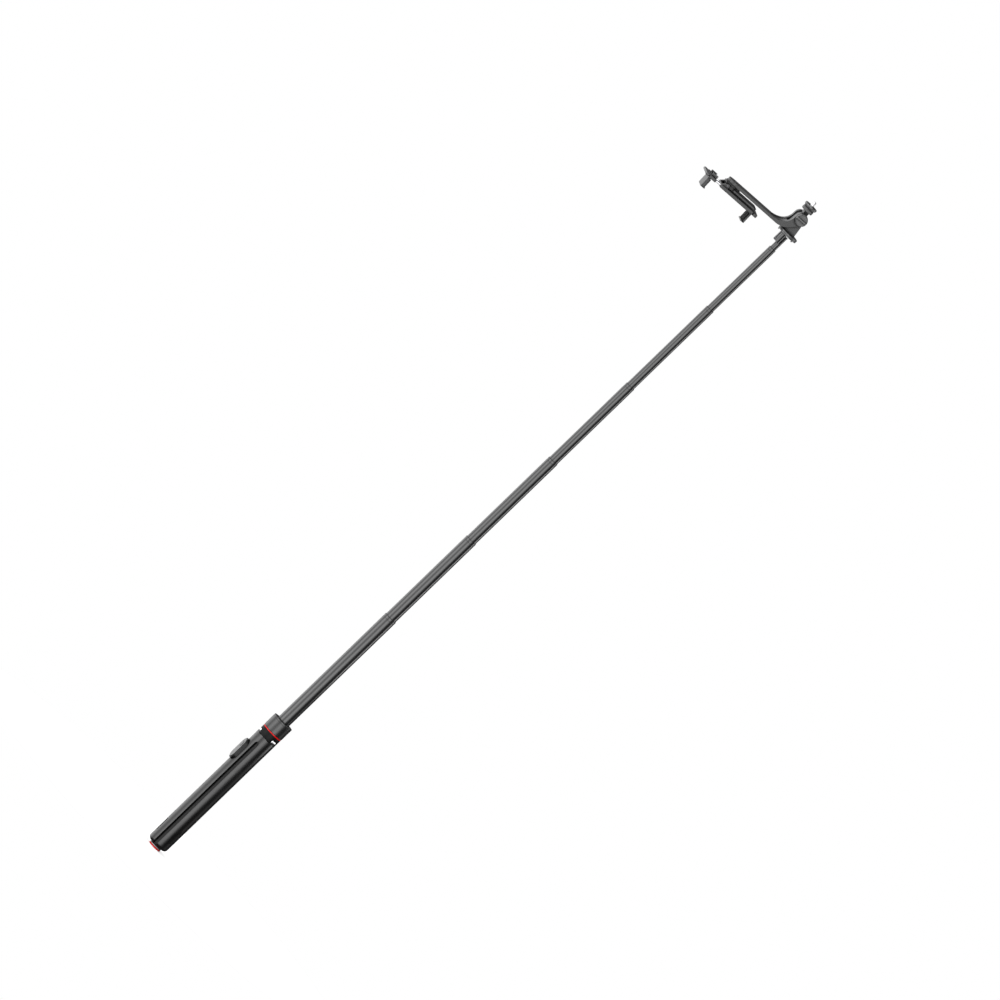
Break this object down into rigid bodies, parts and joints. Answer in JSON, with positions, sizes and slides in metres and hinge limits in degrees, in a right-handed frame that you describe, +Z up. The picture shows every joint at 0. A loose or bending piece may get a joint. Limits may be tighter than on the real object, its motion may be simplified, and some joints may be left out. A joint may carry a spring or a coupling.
{
  "type": "selfie stick",
  "caption": "Telescoping pole with a tilting arm and sprung phone clamp, a camera screw, a lift-off remote, and a round grip that opens into a tripod.",
  "frame": {"origin": "middle of the flat underside of the rubber foot, on the pole's axis", "axes": "+Z up along the pole, -X along the arm towards the phone clamp, -Y towards the tilt knob"},
  "size_m": [0.1978, 0.0411, 1.5352],
  "materials": {
    "grip_plastic": "satin dark grey",
    "black_plastic": "satin black",
    "grey_plastic": "satin grey",
    "head_plastic": "fine-grained dark grey",
    "tube_finish": "anodised satin grey",
    "steel": "turned, bare",
    "chrome": "polished",
    "red_plastic": "red",
    "red_rubber": "red, matte",
    "rubber": "black, matte"
  },
  "bodies": {
    "hub": {"leg_hub": "black_plastic"},
    "core": {"core_tube": "black_plastic", "core_plug": "black_plastic", "foot_cap": "red_rubber", "collar": "grey_plastic", "accent_ring": "red_plastic"},
    "leg_left": {"leg_left": "grip_plastic", "leg_left_pin": "steel", "leg_left_strip": "rubber", "remote_cradle": "black_plastic"},
    "leg_front": {"leg_front": "grip_plastic", "leg_front_pin": "steel", "leg_front_strip": "rubber"},
    "leg_rear": {"leg_rear": "grip_plastic", "leg_rear_pin": "steel", "leg_rear_strip": "rubber"},
    "tube_1": {"tube_1": "tube_finish", "tube_1_glide": "black_plastic"},
    "tube_2": {"tube_2": "tube_finish", "tube_2_glide": "black_plastic"},
    "tube_3": {"tube_3": "tube_finish", "tube_3_glide": "black_plastic"},
    "tube_4": {"tube_4": "tube_finish", "tube_4_glide": "black_plastic"},
    "tube_5": {"tube_5": "tube_finish", "tube_5_glide": "black_plastic"},
    "tube_6": {"tube_6": "tube_finish", "tube_6_glide": "black_plastic", "neck_bush": "black_plastic", "neck_rod": "tube_finish", "swivel_sleeve": "tube_finish", "neck_bolt": "steel"},
    "head": {"head_plate": "grey_plastic", "swivel_pin": "steel", "tilt_base": "head_plastic", "camera_screw": "steel", "lock_cup": "grey_plastic", "cup_pad": "rubber"},
    "lock_nut": {"lock_nut": "grey_plastic"},
    "arm": {"arm": "head_plastic", "tilt_nut": "steel", "swivel_rivet": "steel"},
    "tilt_knob": {"tilt_knob": "head_plastic", "tilt_screw": "steel"},
    "turntable": {"swivel_disc": "black_plastic", "leaf_knuckle": "head_plastic", "fold_pin": "steel"},
    "clamp": {"clamp_bar": "head_plastic", "inner_jaw": "head_plastic", "inner_pad": "rubber"},
    "jaw": {"outer_jaw": "head_plastic", "outer_pad": "rubber", "pull_tab": "grey_plastic", "guide_rod_front": "chrome", "guide_rod_rear": "chrome", "accessory_shoe": "black_plastic"},
    "remote": {"remote_back": "black_plastic", "remote_front": "grey_plastic", "remote_battery": "steel"},
    "button": {"shutter_button": "grey_plastic"}
  },
  "joints": [
    {"name": "core_lift", "type": "slide", "parent": "hub", "child": "core", "axis": [0, 0, 1], "range_m": [0, 0.19]},
    {"name": "leg_left_swing", "type": "hinge", "parent": "hub", "child": "leg_left", "pos_m": [-0.0167, 0, 0.2639], "axis": [0, 1, 0], "range_deg": [0, 70]},
    {"name": "leg_front_swing", "type": "hinge", "parent": "hub", "child": "leg_front", "pos_m": [0.00835, -0.01446, 0.2639], "axis": [-0.866, -0.5, 0], "range_deg": [0, 70]},
    {"name": "leg_rear_swing", "type": "hinge", "parent": "hub", "child": "leg_rear", "pos_m": [0.00835, 0.01446, 0.2639], "axis": [0.866, -0.5, 0], "range_deg": [0, 70]},
    {"name": "tube_1_slide", "type": "slide", "parent": "core", "child": "tube_1", "axis": [0, 0, -1], "range_m": [0, 0.246]},
    {"name": "tube_2_slide", "type": "slide", "parent": "tube_1", "child": "tube_2", "axis": [0, 0, -1], "range_m": [0, 0.1841]},
    {"name": "tube_3_slide", "type": "slide", "parent": "tube_2", "child": "tube_3", "axis": [0, 0, -1], "range_m": [0, 0.1873]},
    {"name": "tube_4_slide", "type": "slide", "parent": "tube_3", "child": "tube_4", "axis": [0, 0, -1], "range_m": [0, 0.1762]},
    {"name": "tube_5_slide", "type": "slide", "parent": "tube_4", "child": "tube_5", "axis": [0, 0, -1], "range_m": [0, 0.1823]},
    {"name": "tube_6_slide", "type": "slide", "parent": "tube_5", "child": "tube_6", "axis": [0, 0, -1], "range_m": [0, 0.1556]},
    {"name": "head_pan", "type": "hinge", "parent": "tube_6", "child": "head", "pos_m": [-0.0064, -0.003, 1.463], "axis": [0, 0, 1], "continuous": true},
    {"name": "lock_nut_spin", "type": "hinge", "parent": "head", "child": "lock_nut", "pos_m": [-0.006, 0, 1.517], "axis": [0, 0, 1], "continuous": true},
    {"name": "arm_tilt", "type": "hinge", "parent": "head", "child": "arm", "pos_m": [-0.005, 0, 1.4995], "axis": [0, 1, 0], "range_deg": [0, 90]},
    {"name": "tilt_knob_turn", "type": "hinge", "parent": "arm", "child": "tilt_knob", "pos_m": [-0.005, -0.019, 1.4995], "axis": [0, 1, 0], "continuous": true},
    {"name": "clamp_turn", "type": "hinge", "parent": "arm", "child": "turntable", "pos_m": [-0.12544, 0, 1.46121], "axis": [-0.0436, 0, 0.999], "range_deg": [-90, 90]},
    {"name": "clamp_fold", "type": "hinge", "parent": "turntable", "child": "clamp", "pos_m": [-0.13469, 0, 1.4551], "axis": [0, 1, 0], "range_deg": [0, 45]},
    {"name": "jaw_slide", "type": "slide", "parent": "clamp", "child": "jaw", "axis": [-0.999, 0, -0.0436], "range_m": [-0.009, 0.01]},
    {"name": "remote_lift", "type": "slide", "parent": "leg_left", "child": "remote", "axis": [-1, 0, 0], "range_m": [0, 0.012]},
    {"name": "shutter_press", "type": "slide", "parent": "remote", "child": "button", "axis": [1, 0, 0], "range_m": [0, 0.0007], "stiffness_N_per_m": 1500}
  ]
}
